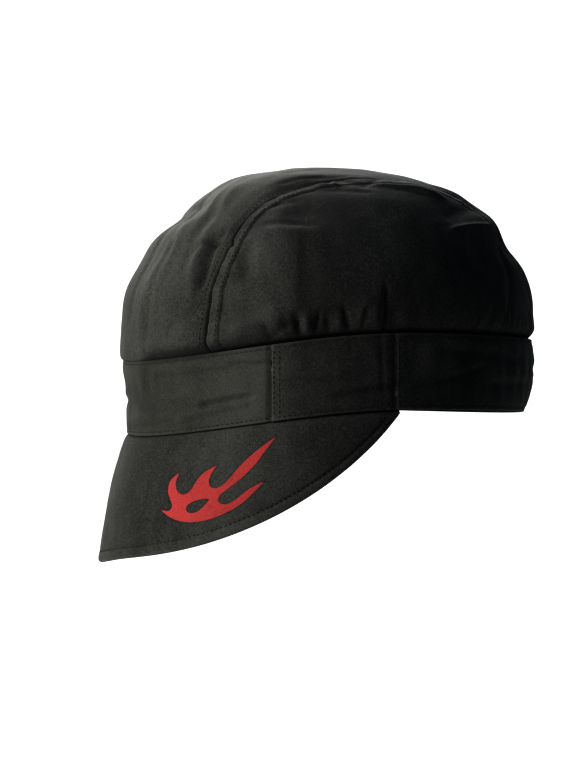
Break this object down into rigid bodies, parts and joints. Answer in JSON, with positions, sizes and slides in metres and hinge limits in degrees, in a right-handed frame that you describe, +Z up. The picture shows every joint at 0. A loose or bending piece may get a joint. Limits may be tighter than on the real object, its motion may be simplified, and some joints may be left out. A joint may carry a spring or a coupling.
{
  "type": "welding cap",
  "caption": "Soft cotton cap with a gathered crown of three panels, a close-fitting band and a short drooping peak over the forehead.",
  "frame": {"origin": "centre of the head opening, in the plane of the rim", "axes": "+Z up out of the wearer's head, -Y forwards over the peak, +X to the wearer's left"},
  "size_m": [0.1747, 0.2142, 0.1867],
  "materials": {
    "crown_cloth": "washed black cotton, plain weave, matt",
    "twill_band": "black cotton twill with a visible slanting rib",
    "band_cloth": "washed black cotton, plain weave, matt",
    "peak_cloth": null
  },
  "bodies": {
    "root": {"crown_centre": "crown_cloth", "crown_left": "crown_cloth", "crown_right": "crown_cloth", "band_front": "twill_band", "band_left": "band_cloth", "band_right": "band_cloth", "band_back": "band_cloth", "peak": "peak_cloth"}
  },
  "joints": []
}
